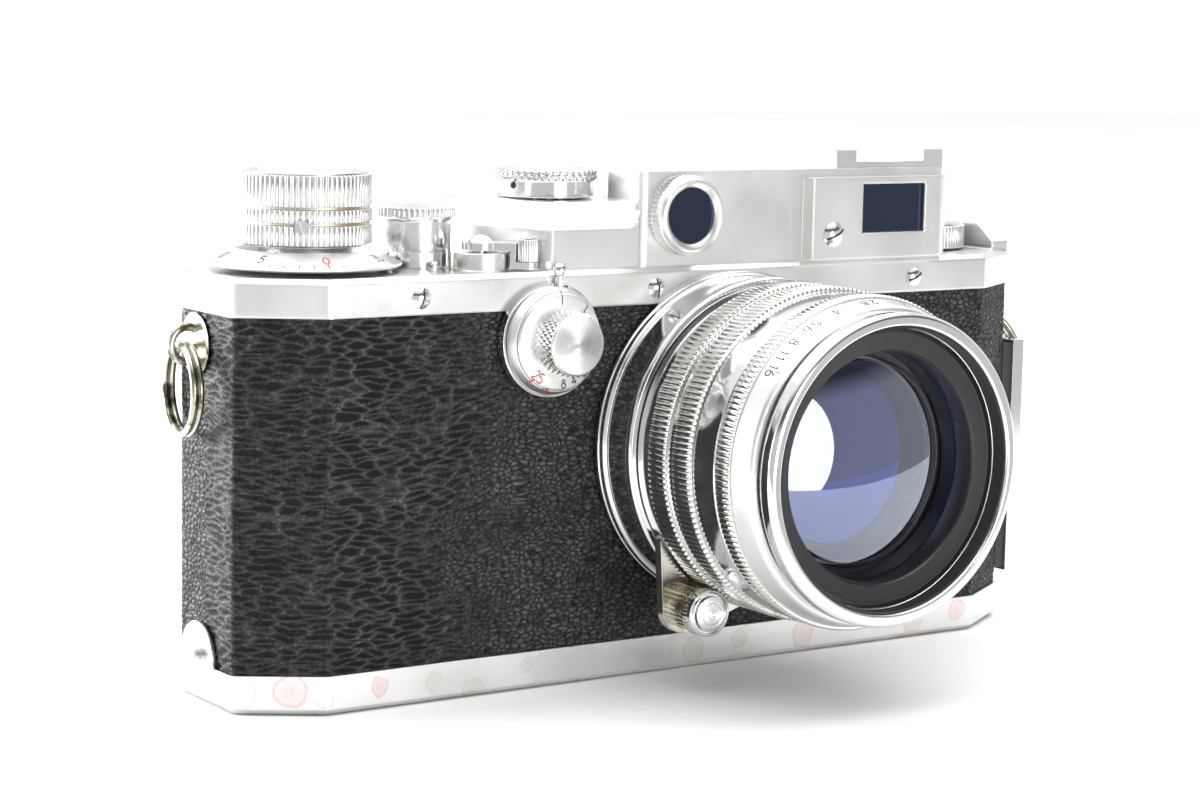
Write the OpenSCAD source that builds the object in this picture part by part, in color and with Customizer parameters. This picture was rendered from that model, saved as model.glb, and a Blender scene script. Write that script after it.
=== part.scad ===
// Rangefinder camera with a screw-mount lens, in millimetres.
// +X runs to the right as seen from the front, the lens points along -Y and +Z is up.
// The origin is the centre of the base plate's underside.

/* [Body] */
// Width of the base plate and the top cover
body_w = 139.4; // [136:0.2:144]
// Depth of the base plate and the top cover
body_d = 30.5; // [30:0.1:32]
// Length of each corner facet along the width
facet_x = 11.35; // [10:0.05:12]
// Length of each corner facet along the depth
facet_y = 6.95; // [6:0.05:8]
// Height of the base plate
base_h = 5.4; // [5:0.1:6]
// Lower edge of the top cover's skirt
skirt_z = 54.7; // [54:0.1:55]
// Height of the shoulder that the controls stand on
shoulder_z = 60; // [59.8:0.1:60.4]
// Height of the finder housing's roof
roof_z = 73.9; // [73.5:0.1:74.5]
// Thickness of the leather covering
leather_t = 0.55; // [0.4:0.05:0.6]

/* [Lens] */
// Sideways place of the lens axis
lens_x = 9.5; // [9:0.1:10]
// Height of the lens axis
lens_z = 34.6; // [34:0.1:35]
// Radius of the camera's mount ring
mount_r = 24.5; // [24.2:0.1:24.8]
// Radius of the knurled focusing bands
knurl_r = 24.1; // [23.9:0.05:24.3]
// Radius of the accessory thread in the front rim
filter_r = 20; // [19.8:0.1:20.1]
// Reach of the lens in front of the body's centre plane
lens_reach = 53.7; // [53.5:0.1:54.2]

/* [Controls] */
// Place of the film advance knob along the width
wind_x = -54.2; // [-55:0.1:-54]
// Radius of the film advance knob
wind_r = 9.35; // [9:0.05:9.6]
// Place of the shutter release along the width
release_x = -36.5; // [-36.6:0.1:-36]
// Place of the shutter speed dial along the width
speed_x = -14.4; // [-14.6:0.1:-14.2]
// Place of the slow speed dial along the width
slow_x = -23.6; // [-24:0.1:-23]
// Height of the slow speed dial
slow_z = 50.4; // [50:0.1:50.6]
// Place of the rewind knob along the width
rewind_x = 56; // [55.8:0.1:56.2]
// Height of the strap lugs
lug_z = 50; // [49:0.5:51]

/* [Hidden] */

$fn = 64;
chrome = [0.80, 0.80, 0.79];
satin = [0.88, 0.88, 0.86];
black = [0.06, 0.06, 0.06];
brass = [0.62, 0.55, 0.36];
glass_blue = [0.16, 0.20, 0.42, 0.6];
steel = [0.55, 0.56, 0.58];
cloth = [0.12, 0.12, 0.12];

half_w = body_w / 2;
half_d = body_d / 2;
// Small gap that keeps two pieces of one body apart
gap = 0.02;
// Gap between pieces that move past each other
clear = 0.2;
leather_in = 0.3;
shell_in = leather_in + leather_t + gap;
shell_t = 1.1;
cover_t = 1.4;
front_wall = half_d - 0.75;
deck_z = 69.4;
bevel_z = 65.7;
film_y = 11.5;
selector_pivot = [-30.5, -8];
selector_foot = [6.9, 0];

// A polygon's corners, each replaced by an arc of radius r
function unit(v) = v / norm(v);
function corner(a, p, b, r, n) =
    let (u = unit(a - p), v = unit(b - p), h = acos(u * v) / 2)
    let (c = p + unit(u + v) * r / sin(h))
    let (s = p + u * r / tan(h) - c, e = p + v * r / tan(h) - c)
    let (t0 = atan2(s.y, s.x), turn = atan2(s.x * e.y - s.y * e.x, s * e))
    [for (k = [0:n]) c + r * [cos(t0 + turn * k / n), sin(t0 + turn * k / n)]];
function rounded(p, r, n = 4) =
    let (m = len(p))
    [for (i = [0:m - 1]) each corner(p[(i + m - 1) % m], p[i], p[(i + 1) % m], r, n)];

// The body's octagon, drawn in from the plates' edge by t
function octagon(t) =
    let (l = norm([facet_x, facet_y]), n = [facet_y, facet_x] / l)
    let (c = n * [half_w, half_d - facet_y] - t)
    let (w = half_w - t, d = half_d - t)
    let (y = (c - n.x * w) / n.y, x = (c - n.y * d) / n.x)
    [[w, -y], [w, y], [x, d], [-x, d], [-w, y], [-w, -y], [-x, -d], [x, -d]];
module outline(t) {
    polygon(rounded(octagon(t), 1.6));
}
module slab(t, z0, z1) {
    translate([0, 0, z0]) linear_extrude(z1 - z0) outline(t);
}

// A toothed outline for straight knurling
function flutes(r, n, depth) =
    [for (i = [0:n - 1], k = [0:3])
        let (a = (i + k * 0.25 + 0.05) * 360 / n, q = k < 2 ? r : r - depth) q * [cos(a), sin(a)]];
module fluted(r, n, depth, h) {
    linear_extrude(h) polygon(flutes(r, n, depth));
}

// Places children on the lens axis, their +Z pointing out of the camera
module on_lens() {
    translate([lens_x, 0, lens_z]) rotate([90, 0, 0]) children();
}
// Places children on the front of the body, their +Z pointing out
module on_front(x, y, z) {
    translate([x, y, z]) rotate([90, 0, 0]) children();
}
// A ring from z0 to z1
module ring(r_out, r_in, z0, z1) {
    difference() {
        translate([0, 0, z0]) cylinder(r = r_out, h = z1 - z0);
        translate([0, 0, z0 - 1]) cylinder(r = r_in, h = z1 - z0 + 2);
    }
}
module disc(r, z0, z1) {
    translate([0, 0, z0]) cylinder(r = r, h = z1 - z0);
}
// A domed screw head with a slot, seated on z = 0
module dome_head(r, h, turn) {
    ball = (r * r + h * h) / (2 * h);
    difference() {
        intersection() {
            translate([0, 0, h - ball]) sphere(r = ball);
            cylinder(r = r, h = h + 1);
        }
        rotate([0, 0, turn]) translate([-r - 1, -0.17, h * 0.4]) cube([2 * r + 2, 0.34, h]);
    }
}

// ---- body ----
module body_shell() {
    color(steel) difference() {
        slab(shell_in, base_h + 0.1, skirt_z - 0.1);
        slab(shell_in + shell_t, 0, shoulder_z);
        on_lens() disc(21.7, 0, half_d + 5);
        on_front(slow_x, 0, slow_z) disc(3.2, 0, half_d + 5);
        for (s = [-1, 1]) translate([s * half_w, 3, lug_z]) rotate([0, 90, 0])
            cylinder(r = 2.1, h = 12, center = true);
    }
}
module leather_covering() {
    color(black) difference() {
        slab(leather_in, base_h + 0.05, skirt_z - 0.05);
        slab(leather_in + leather_t, 0, shoulder_z);
        on_lens() disc(mount_r + 0.1, 0, half_d + 5);
        on_front(slow_x, 0, slow_z) disc(3.2, 0, half_d + 5);
        for (s = [-1, 1]) translate([s * half_w, 3, lug_z]) rotate([0, 90, 0])
            cylinder(r = 2.1, h = 12, center = true);
    }
}
module inner_frame() {
    crate_l = -28.5;
    crate_r = 39.7;
    color(steel) difference() {
        union() {
            slab(shell_in + shell_t + 0.1, 52.6, 54.2);
            translate([crate_l, -13, 7]) cube([crate_r - crate_l, 23, 45.6]);
        }
        translate([crate_l + 1.2, -11.8, 8.2]) cube([crate_r - crate_l - 2.4, 30, 44.4]);
        on_lens() disc(20.2, 10, 15);
        on_front(slow_x, 0, slow_z) disc(2.2, 10, 15);
        translate([wind_x, 0, 50]) disc(3.5, 0, 6);
        translate([release_x, 4.2, 50]) disc(1.6, 0, 6);
        translate([release_x, 0, 50]) disc(1.8, 0, 6);
        translate([speed_x, 0, 50]) disc(2.3, 0, 6);
        translate([rewind_x, 0.5, 50]) disc(2.8, 0, 6);
    }
}
module film_gate() {
    color(black) {
        difference() {
            translate([-27.2, 10.1, 8.4]) cube([65.6, 0.9, 44]);
            translate([lens_x - 18, 5, lens_z - 12]) cube([36, 10, 24]);
        }
        for (z = [lens_z - 14, lens_z + 12.8])
            translate([-27.2, 10.9, z]) cube([65.6, film_y - 11, 1.2]);
    }
}
module pressure_plate() {
    color(black) difference() {
        translate([-20, film_y + 0.4, 17.5]) linear_extrude(34.2) square([59, 0.8]);
        for (x = [-8, 27]) on_front(x, 0, lens_z) disc(1.2, -15, -5);
    }
}
module shutter_curtains() {
    color(cloth) {
        translate([-21, 8.7, 18.6]) cube([54, 0.2, 32]);
        translate([27, 8, 18.6]) cube([6, 0.25, 32]);
        translate([26, 8, 18.6]) cube([0.9, 0.4, 32]);
    }
}
module curtain_rollers() {
    color(steel) for (p = [[-21.5, 4, 3.6], [33.2, 4.8, 2.6], [33.2, -2.2, 2.6]])
        translate([p.x, p.y, 0]) {
            disc(p.z, 10, 51.4);
            disc(1, 8.3, 52.5);
        }
}
module film_sprocket() {
    color(chrome) translate([release_x, 4.2, 0]) {
        disc(1.5, 12, 54.1);
        ring(3.8, 1.49, 16, 52.3);
        for (z = [lens_z - 16.1, lens_z + 12.1]) translate([0, 0, z]) {
            ring(5.7, 3.79, 0, 4);
            for (a = [0:45:359]) rotate([0, 0, a]) translate([5.5, -0.7, 1.2]) cube([1, 1.4, 1.6]);
        }
    }
}
module take_up_spool() {
    color(black) translate([wind_x, 0, 0]) difference() {
        union() {
            disc(5.4, 14, 52.3);
            disc(10.5, 14, 15);
            disc(10.5, 51.2, 52.2);
        }
        disc(2.9, 45, 53);
        translate([-0.6, -6, 20]) cube([1.2, 12, 26]);
    }
}

// ---- top cover ----
// Plan of the low deck on the left of the finder housing
deck_plan = [[-7.4, -front_wall], [-7.4, front_wall], [-28.7, front_wall],
             [-28.7, 1.7], [-22.5, -front_wall]];
deck_roof = [[-7.4, 3.3 - front_wall], [-7.4, front_wall - 3.3], [-25.6, front_wall - 3.3],
             [-25.6, 1.7], [-20.3, 3.3 - front_wall]];
module housing_plan(t) {
    difference() {
        polygon(rounded([[-7.5 + t, t - front_wall], [50 - t, t - front_wall],
                         [50 - t, front_wall - t], [-7.5 + t, front_wall - t]], 1.2));
        translate([speed_x, 0]) circle(r = 9.2 + t);
        translate([rewind_x, 0.5]) circle(r = 9.2 + t);
    }
}
module deck() {
    translate([0, 0, shoulder_z - 0.5]) linear_extrude(bevel_z - shoulder_z + 0.5)
        polygon(deck_plan);
    hull() {
        translate([0, 0, bevel_z - 0.02]) linear_extrude(0.02) polygon(deck_plan);
        translate([0, 0, deck_z - 0.02]) linear_extrude(0.02) polygon(deck_roof);
    }
}
// Rounded inner corner where the deck's front wall meets the housing
module deck_fillet() {
    rotate([90, 0, 0]) translate([0, 0, front_wall - 3.3]) linear_extrude(3.3) difference() {
        translate([-10, bevel_z - 0.2]) square([2.6, 2.7]);
        translate([-10, bevel_z + 2.5]) circle(r = 2.5);
    }
}
// The guard behind and beside the rewind knob
module rewind_guard() {
    difference() {
        translate([50, -8.5, shoulder_z - 0.4]) cube([18.8, 21.5, 6]);
        translate([rewind_x, 0.5, shoulder_z]) cylinder(r = 9.6, h = 10);
        translate([rewind_x - 9.6, -20, shoulder_z]) cube([19.2, 20.5, 10]);
        translate([60, -8.5, shoulder_z + 1.3]) rotate([38, 0, 0]) translate([0, -10, 0])
            cube([20, 20, 10]);
        translate([68.8, 13, 0]) rotate([0, 0, 45]) cube([7, 7, 200], center = true);
    }
}
module top_cover() {
    color(satin) difference() {
        union() {
            slab(0, skirt_z, 59.3);
            hull() {
                slab(0, 59.28, 59.3);
                slab(0.7, shoulder_z - 0.02, shoulder_z);
            }
            deck();
            deck_fillet();
            translate([0, 0, shoulder_z - 0.5]) linear_extrude(roof_z - shoulder_z + 0.5)
                housing_plan(0);
            rewind_guard();
            translate([selector_pivot.x, selector_pivot.y, 59]) cylinder(r = 4.3, h = 3.5);
            translate([-37, -6.3, shoulder_z - 0.5]) {
                cylinder(r = 0.6, h = 1.1);
                translate([0, 0, 1.1]) sphere(r = 0.6, $fn = 24);
            }
        }
        slab(cover_t, skirt_z - 1, shoulder_z - cover_t);
        translate([0, 0, shoulder_z - 3]) linear_extrude(bevel_z - shoulder_z + 1.6)
            polygon([[-9, 1.5 - front_wall], [-9, front_wall - 1.5], [-27, front_wall - 1.5],
                     [-27, 2.2], [-21.4, 1.5 - front_wall]]);
        translate([0, 0, shoulder_z - 3]) linear_extrude(roof_z - shoulder_z + 3 - cover_t)
            housing_plan(cover_t);
        translate([wind_x, 0, 50]) disc(3.4, 0, 15);
        translate([release_x, 0, 50]) disc(2.2, 0, 15);
        translate([speed_x, 0, 50]) disc(2.2, 0, 30);
        translate([selector_pivot.x, selector_pivot.y, 50]) disc(1.15, 0, 20);
        translate([rewind_x, 0.5, 50]) disc(2.8, 0, 20);
        on_front(0, 0, 67.5) disc(3.4, 10, 20);
        translate([32.5, -20, 65]) cube([10.4, 10, 6]);
        on_front(37.7, 30, 66.5) disc(3, 10, 20);
        on_front(27, 30, 66.5) disc(1.1, 10, 20);
    }
}
module range_window_ring() {
    color(chrome) on_front(0, 0, 67.5) difference() {
        union() {
            translate([0, 0, front_wall + gap]) fluted(5.85, 48, 0.25, 2.2);
            translate([0, 0, front_wall + 2.2]) cylinder(r1 = 5.6, r2 = 5.2, h = 0.8);
            disc(3.3, front_wall - 2, front_wall + 1);
        }
        disc(4.05, front_wall + 1.2, 30);
        disc(2.7, 5, 30);
    }
}
module range_window() {
    color(glass_blue) on_front(0, 0, 67.5) disc(4, front_wall + 1.25, front_wall + 2.1);
}
module finder_plate() {
    face = 17.2;
    color(satin) difference() {
        translate([0, 0, shoulder_z + 0.3]) linear_extrude(12.4) difference() {
            polygon([[22.1, -10], [22.1, -face], [46, -face],
                     for (a = [-75:15:0]) [46 + 4 * cos(a), -13.2 + 4 * sin(a)], [50, -10]]);
            translate([20, -front_wall - gap]) square([40, 20]);
        }
        translate([31.6, -20, 64.2]) cube([12.2, 4, 7.4]);
        translate([32.6, -20, 65.1]) cube([10.2, 10, 5.7]);
        on_front(26.1, 0, 64.1) disc(1, face - 1.6, 20);
    }
}
module finder_window() {
    color(glass_blue) translate([31.7, -16.5, 64.3]) cube([12, 0.48, 7.2]);
}
module finder_optics() {
    color(glass_blue) {
        translate([33.2, -12.4, 64]) cube([9, 2.5, 7]);
        on_front(37.7, 0, 67) disc(3.4, -9.5, -6.5);
    }
    color(steel) {
        translate([37.7, -1, 62.5]) rotate([0, 0, 45]) cube([9, 0.8, 8.6]);
        translate([0, -6, 63]) rotate([0, 0, -45]) translate([-4, 0, 0]) cube([8, 0.8, 8.4]);
        translate([3, -4, shoulder_z - 1.2]) cube([28, 4, 1]);
    }
}
module eyepiece_ring() {
    color(black) on_front(37.7, 0, 66.5) mirror([0, 0, 1]) {
        ring(4.6, 2.6, front_wall + gap, front_wall + 2.2);
        ring(2.95, 2.6, front_wall - 1.3, front_wall + gap + 0.1);
    }
}
module eyepiece_lens() {
    color(glass_blue) on_front(37.7, 0, 66.5) mirror([0, 0, 1])
        disc(2.58, front_wall + 0.2, front_wall + 1.6);
}
module magnifier_lever() {
    color(chrome) on_front(27, 0, 66.5) mirror([0, 0, 1]) {
        disc(1, front_wall - 1.2, front_wall + 1);
        disc(3, front_wall + clear, front_wall + 1.1);
        translate([-0.9, -4.6, front_wall + clear]) cube([1.8, 4, 0.9]);
        translate([0, -4.6, front_wall + clear]) cylinder(r = 1.3, h = 2.2);
    }
}
shoe_x = 39.3;
shoe_y = -13.9;
module accessory_shoe() {
    color(chrome) translate([shoe_x, 0, roof_z + gap]) difference() {
        translate([-10.5, shoe_y, 0]) cube([21, 17, 2.6]);
        translate([-9.4, shoe_y + 0.8, 0.5]) cube([18.8, 30, 1.5]);
        translate([-6.6, shoe_y - 1, 0.9]) cube([13.2, 30, 5]);
        for (x = [-5, 5]) translate([x, shoe_y + 7, -1]) cylinder(r = 0.8, h = 3);
    }
}
module cover_screws() {
    color(chrome) {
        for (x = [[-44.2, 80], [-4.8, 95], [43.8, 25]])
            on_front(x[0], -half_d - gap, 57) dome_head(1.5, 0.7, x[1]);
        for (x = [-44.2, 0, 43.8])
            translate([x, half_d + gap, 57]) rotate([-90, 0, 0]) dome_head(1.5, 0.7, 40);
        on_front(26.1, -17.2 - gap, 64.1) dome_head(1.9, 0.9, 25);
        for (x = [-5, 5]) translate([shoe_x + x, shoe_y + 7, roof_z + 0.54])
            dome_head(1.5, 0.3, 60);
    }
}

// ---- controls on the top ----
module wind_knob() {
    color(chrome) translate([wind_x, 0, 0]) {
        for (z = [[63.9, 2.8], [67, 1.9], [69.2, 4.4]]) translate([0, 0, z[0]])
            fluted(wind_r, 66, 0.3, z[1]);
        disc(wind_r - 0.45, 63.6, 73.8);
        disc(wind_r - 0.8, 73.7, 74);
        disc(6.5, 62.1, 63.8);
        disc(3.2, 54.4, 63);
        disc(2.7, 49, 54.5);
    }
}
module wind_knob_screw() {
    color(chrome) translate([wind_x, 0, 0]) rotate([0, 0, -120])
        translate([wind_r + gap, 0, 66.6]) rotate([0, 90, 0]) difference() {
            cylinder(r = 1, h = 0.35);
            rotate([0, 0, 20]) translate([-2, -0.15, 0.15]) cube([4, 0.3, 2]);
        }
}
module frame_counter() {
    color(satin) translate([wind_x, 0, 0]) rotate_extrude()
        polygon([[3.6, 60.3], [10, 60.3], [13.2, 60.7], [13.6, 61], [13.6, 61.2],
                 [9.6, 63.1], [9.2, 61.8], [3.6, 61.8]]);
    color(chrome) translate([wind_x, 0, 0]) rotate([0, 0, -20]) translate([11.4, 0, 62])
        intersection() {
            sphere(r = 0.8);
            disc(0.7, -0.3, 1);
        }
}
module release_collar() {
    color(chrome) translate([release_x, 0, 0]) difference() {
        union() {
            disc(5.2, shoulder_z + gap, 67.3);
            translate([0, 0, 67.2]) fluted(5.85, 44, 0.3, 1.4);
        }
        translate([wind_x - release_x, 0, 0]) disc(13.8, 59, 62.2);
        disc(2.9, shoulder_z + 2, 70);
        disc(1.9, 50, 70);
    }
}
module release_button() {
    color(chrome) translate([release_x, 0, 0]) {
        disc(1.6, 54.6, 66);
        intersection() {
            disc(2.7, 65.5, 70);
            translate([0, 0, 58.6]) sphere(r = 10.2);
        }
    }
}
module speed_dial() {
    color(chrome) translate([speed_x, 0, 0]) difference() {
        union() {
            disc(7.2, deck_z + 0.25, 72.2);
            translate([0, 0, 72.1]) fluted(7.65, 60, 0.25, 1.5);
            disc(7.2, 73.5, 73.75);
            disc(2, 53.4, 70);
        }
        rotate([0, 0, -164]) translate([5, 0, 71.4]) rotate([0, 90, 0]) cylinder(r = 0.6, h = 5);
    }
}
module selector_lever() {
    color(chrome) translate([selector_pivot.x, selector_pivot.y, 0]) {
        rotate([0, 0, -40]) {
            translate([0, 0, 62.8]) linear_extrude(1.1) {
                circle(r = 2.6);
                translate([0, -1.5]) square([5.4, 3]);
            }
            translate([4.6, -1.5, shoulder_z + 0.25]) cube([0.8, 3, 3]);
            translate([0, 0, shoulder_z + 0.25]) linear_extrude(0.95) {
                translate([4.6, -1.5]) square([2.3, 3]);
                translate(selector_foot) circle(r = 1.5);
            }
        }
        translate([0, 0, 63.8]) dome_head(2, 1.1, 0);
        disc(1.05, 58.9, 63);
    }
}
module selector_grip() {
    color(chrome) translate([selector_pivot.x, selector_pivot.y, shoulder_z + 1.22]) rotate([0, 0, -40])
        translate(selector_foot) {
        fluted(1.5, 18, 0.15, 3.2);
        cylinder(r = 1.3, h = 3.5);
    }
}
module rewind_shaft() {
    color(steel) translate([rewind_x, 0.5, 0]) {
        ring(2.65, 2.25, 45.9, shoulder_z + 0.1);
        disc(2.65, 45, 46);
        difference() {
            disc(2.2, 38, 45.1);
            translate([-3, -0.8, 37]) cube([6, 1.6, 5]);
        }
    }
}
module rewind_knob() {
    color(chrome) translate([rewind_x, 0.5, 0]) {
        translate([0, 0, 60.3]) fluted(8.7, 60, 0.25, 3.6);
        rotate_extrude() polygon([[0, 60.3], [8.3, 60.3], [8.3, 64], [7.9, 64.4],
                                  [7.2, 64.7], [0, 64.7]]);
        disc(2.2, 50, 61);
    }
}

// ---- slow speed dial on the front ----
module slow_dial_plate() {
    color(chrome) on_front(slow_x, 0, slow_z) difference() {
        union() {
            ring(8.1, 2.2, half_d + gap, 16.6);
            ring(3.1, 2.2, half_d - 2, half_d + 0.1);
        }
        translate([0.2, 6.5, 15]) cube([2.4, 4, 3]);
    }
}
module slow_dial() {
    color(chrome) on_front(slow_x, 0, slow_z) {
        rotate_extrude() polygon([[0, 16.8], [7.7, 16.8], [7.7, 17.2], [6.9, 18.7],
                                  [5.2, 19], [0, 19]]);
        translate([0, 0, 18.9]) fluted(4.6, 40, 0.25, 4.3);
        disc(4.2, 19, 23.5);
        disc(2, 10, 17);
    }
}
module slow_dial_lock() {
    color(chrome) translate([slow_x + 1.4, -16.1, 0]) {
        disc(0.55, 57.6, 60.2);
        translate([0, 0, 60.3]) sphere(r = 1.05);
    }
}

// ---- lens ----
module lens_mount_ring() {
    color(chrome) on_lens() difference() {
        union() {
            ring(mount_r, 19.6, 14.4, 17.3);
            ring(21.6, 19.6, 13.05, 14.5);
        }
        translate([-30, skirt_z - gap - lens_z, 10]) cube([60, 20, half_d + gap - 10]);
    }
}
module lens_rear_barrel() {
    color(chrome) on_lens() rotate_extrude() polygon([
        [19.5, 11.5], [19.5, 17.34], [23.7, 17.34], [24, 17.7], [24, 22.4], [24.2, 22.6],
        [24.2, 23.7], [21, 23.7], [21, 36.5], [19.6, 36.5], [19.6, 23], [18.6, 22], [18.6, 11.5]]);
}
module focus_ring() {
    color(chrome) on_lens() difference() {
        union() {
            disc(23.2, 24, 27.7);
            translate([0, 0, 27.6]) fluted(knurl_r, 90, 0.35, 4.2);
            disc(23.5, 31.7, 33.5);
            translate([0, 0, 33.4]) fluted(knurl_r, 90, 0.35, 4.1);
        }
        disc(21.2, 20, 40);
    }
}
// The infinity lever's place on the lens, as seen from the front
lever_at = [-15.95, -22.35];
module infinity_lever() {
    color(chrome) on_lens() difference() {
        union() {
            translate([0, 0, 25.1]) linear_extrude(1.5) hull() {
                translate(lever_at) circle(r = 3.9);
                for (a = [-147, -106]) rotate(a) translate([23.4, 0]) circle(r = 0.9);
            }
            translate([lever_at.x, lever_at.y, 26.5]) fluted(3.1, 26, 0.2, 3.1);
        }
        disc(23.22, 20, 40);
        translate([lever_at.x, lever_at.y, 20]) cylinder(r = 1.6, h = 20);
    }
}
module infinity_button() {
    color(chrome) on_lens() translate([lever_at.x, lever_at.y, 0]) {
        disc(1.5, 26, 31);
        difference() {
            intersection() {
                disc(3.4, 30.5, 34.2);
                translate([0, 0, 27.6]) sphere(r = 6);
            }
            for (r = [0.8, 1.7]) ring(r + 0.15, r, 32.9, 36);
            ring(2.8, 2.6, 32.2, 36);
        }
    }
}
module front_barrel() {
    color(chrome) on_lens() rotate_extrude() polygon([
        [17.9, 12.5], [18.45, 12.5], [18.45, 22.2], [19.3, 23.4], [19.3, 37.2], [21, 37.8],
        [23.3, 37.8], [23.4, 38], [23.4, 42.7], [23.2, 42.9], [20.5, 42.9], [20.5, 50.2],
        [17.9, 50.2]]);
}
module aperture_ring() {
    color(satin) on_lens() difference() {
        union() {
            translate([0, 0, 43.15]) fluted(23.7, 90, 0.3, 3);
            rotate_extrude() polygon([[18, 46.1], [23.2, 46.1], [23, 46.7], [22.5, 49.5],
                                      [22.2, 49.9], [18, 49.9]]);
        }
        disc(20.7, 40, 60);
    }
}
module front_rim() {
    r = 22;
    color(chrome) on_lens() rotate_extrude() polygon([
        [19.7, 50.22], [21.4, 50.22], [21.6, 50.7], [r - 0.2, 51], [r, 51.4],
        [r, lens_reach - 0.7], [r - 0.3, lens_reach - 0.1], [r - 0.8, lens_reach],
        [filter_r + 0.3, lens_reach], [filter_r, lens_reach - 0.3], [filter_r, 50.8],
        [19.7, 50.8]]);
}
module retaining_ring() {
    color(black) on_lens() rotate_extrude() polygon([
        [17.85, 50.24], [19.6, 50.24], [19.6, 50.75], [16.6, 50.5], [16.2, 50.1],
        [16.2, 49.6], [17.85, 49.4]]);
}
module front_element() {
    color(glass_blue) on_lens() difference() {
        intersection() {
            disc(16.1, 44, 51);
            translate([0, 0, 15.2]) sphere(r = 35, $fn = 96);
        }
        translate([0, 0, -16]) sphere(r = 62, $fn = 96);
    }
}
module inner_elements() {
    color(glass_blue) on_lens() {
        disc(14.5, 40.5, 43.5);
        intersection() {
            disc(13.5, 20, 24);
            translate([0, 0, 50]) sphere(r = 30, $fn = 96);
        }
        disc(12.8, 14.5, 17.5);
    }
    color(black) on_lens() {
        difference() {
            disc(17.85, 40, 43.8);
            disc(14.55, 30, 50);
        }
        difference() {
            disc(17.85, 14, 24.5);
            disc(13.6, 10, 30);
        }
    }
}
// One iris blade: a crescent that turns about its own end
blade_count = 6;
blade_mid = 15;
blade_half = 2;
blade_arc = 100;
function arc_points(c, r, a0, a1, n) =
    [for (k = [0:n]) let (a = a0 + (a1 - a0) * k / n) c + r * [cos(a), sin(a)]];
blade_tip = blade_mid * [cos(blade_arc), sin(blade_arc)];
module iris_blade(i) {
    step = 0.5;
    color(black) on_lens() rotate([0, 0, i * 360 / blade_count])
        translate([0, 0, 32 + i * step]) difference() {
            linear_extrude(0.2) polygon(concat(
                arc_points([0, 0], blade_mid + blade_half, 2, blade_arc - 2, 18),
                arc_points(blade_tip, blade_half, blade_arc + 10, blade_arc + 170, 6),
                arc_points([0, 0], blade_mid - blade_half, blade_arc - 2, 2, 18),
                arc_points([blade_mid, 0], blade_half, 190, 350, 6)));
            translate([blade_mid, 0, -1]) cylinder(r = 0.5, h = 3);
        }
}

// ---- strap lugs, rings and accessory rail ----
eye_x = half_w + 1.7;
module strap_lugs() {
    color(brass) for (s = [-1, 1]) translate([s * (half_w - leather_in), 3, lug_z])
        rotate([0, s * 90, 0]) {
            rotate_extrude() polygon([[1.4, -0.4], [2, -0.4], [2, gap], [4.2, gap], [4.4, 0.25],
                                      [4, 0.4], [2.4, 0.3], [1.4, 0.3]]);
            disc(1.5, -3, 0.3);
            intersection() {
                translate([0, 0, 1.4]) rotate([90, 0, 0]) rotate_extrude()
                    translate([2.4, 0]) circle(r = 0.6, $fn = 24);
                translate([-4, -4, 0.1]) cube(8);
            }
        }
}
// A key ring of two turns, turned by tilt about Z and leaning out by lean
module split_ring(s, tilt, lean) {
    r = 6.2;
    color(brass) translate([s * eye_x, 3, lug_z]) rotate([0, -s * lean, s * tilt])
        translate([0, 0, -r]) rotate([0, 90, 0]) rotate_extrude()
            for (k = [-0.48, 0.48]) translate([r, k]) circle(r = 0.5, $fn = 20);
}
rail_y = -8.4;
rail_w = 10;
module accessory_rail() {
    color(chrome) translate([half_w + 1.5, rail_y, 7.1]) difference() {
        cube([2.2, rail_w, 38]);
        translate([0.6, 0.8, -1]) cube([1, rail_w - 1.6, 38]);
        translate([1.5, 2, -1]) cube([3, rail_w - 4, 38]);
        for (z = [6, 32]) translate([-1, rail_w / 2, z]) rotate([0, 90, 0])
            cylinder(r = 1, h = 5);
    }
}
module rail_insulator() {
    color(black) translate([half_w - leather_in + gap, rail_y + 0.5, 7.6])
        cube([1.5 + leather_in - 2 * gap, rail_w - 1, 37]);
}

// ---- base ----
lock_x = 50;
module base_plate() {
    color(satin) difference() {
        union() {
            slab(0, 0.8, base_h);
            hull() {
                slab(0, 0.8, 0.82);
                slab(0.8, 0, 0.02);
            }
            translate([-half_w - 0.3, 1.5, 6.4]) rotate([0, 90, 0])
                cylinder(r = 4.9, h = 0.55);
            translate([-half_w - 0.3, -3.4, 2]) cube([0.55, 9.8, 4.4]);
            intersection() {
                translate([-half_w + 1.7, 1.8, 6.1]) sphere(r = 3.9);
                translate([-half_w - 6, 1.8, 6.1]) rotate([0, 90, 0]) cylinder(r = 2.5, h = 6.2);
            }
            translate([half_w - 0.25, -3, 2]) cube([0.55, 9, 5.2]);
        }
        slab(1.4, 1.4, 10);
        translate([lock_x, 0, -1]) cylinder(r = 9, h = 2);
        translate([lock_x, 0, -1]) cylinder(r = 2.1, h = 9);
        translate([-52, 0, -1]) cylinder(r = 4.65, h = 9);
    }
    color(satin) translate([lock_x, 0, 0]) ring(10.4, 9, 0.5, 2.4);
    color(satin) translate([lock_x, 0, 0]) ring(9.2, 2.1, 1.2, 2.4);
}
module tripod_bush() {
    color(steel) translate([-52, 0, 0]) {
        ring(4.6, 2.55, 0.05, 5.6);
        ring(6.5, 4.5, 1.45, 2.6);
        disc(4.6, 5.5, 6.4);
    }
}
module base_lock() {
    color(chrome) translate([lock_x, 0, 0]) difference() {
        union() {
            disc(8.7, 0.1, 0.95);
            disc(2, 0.5, 4);
            translate([-6, -1.5, 2.7]) cube([12, 3, 1.2]);
        }
        disc(6.9, -1, 0.55);
        translate([-7, -7, -1]) cube([14, 7, 1.55]);
    }
}
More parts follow.
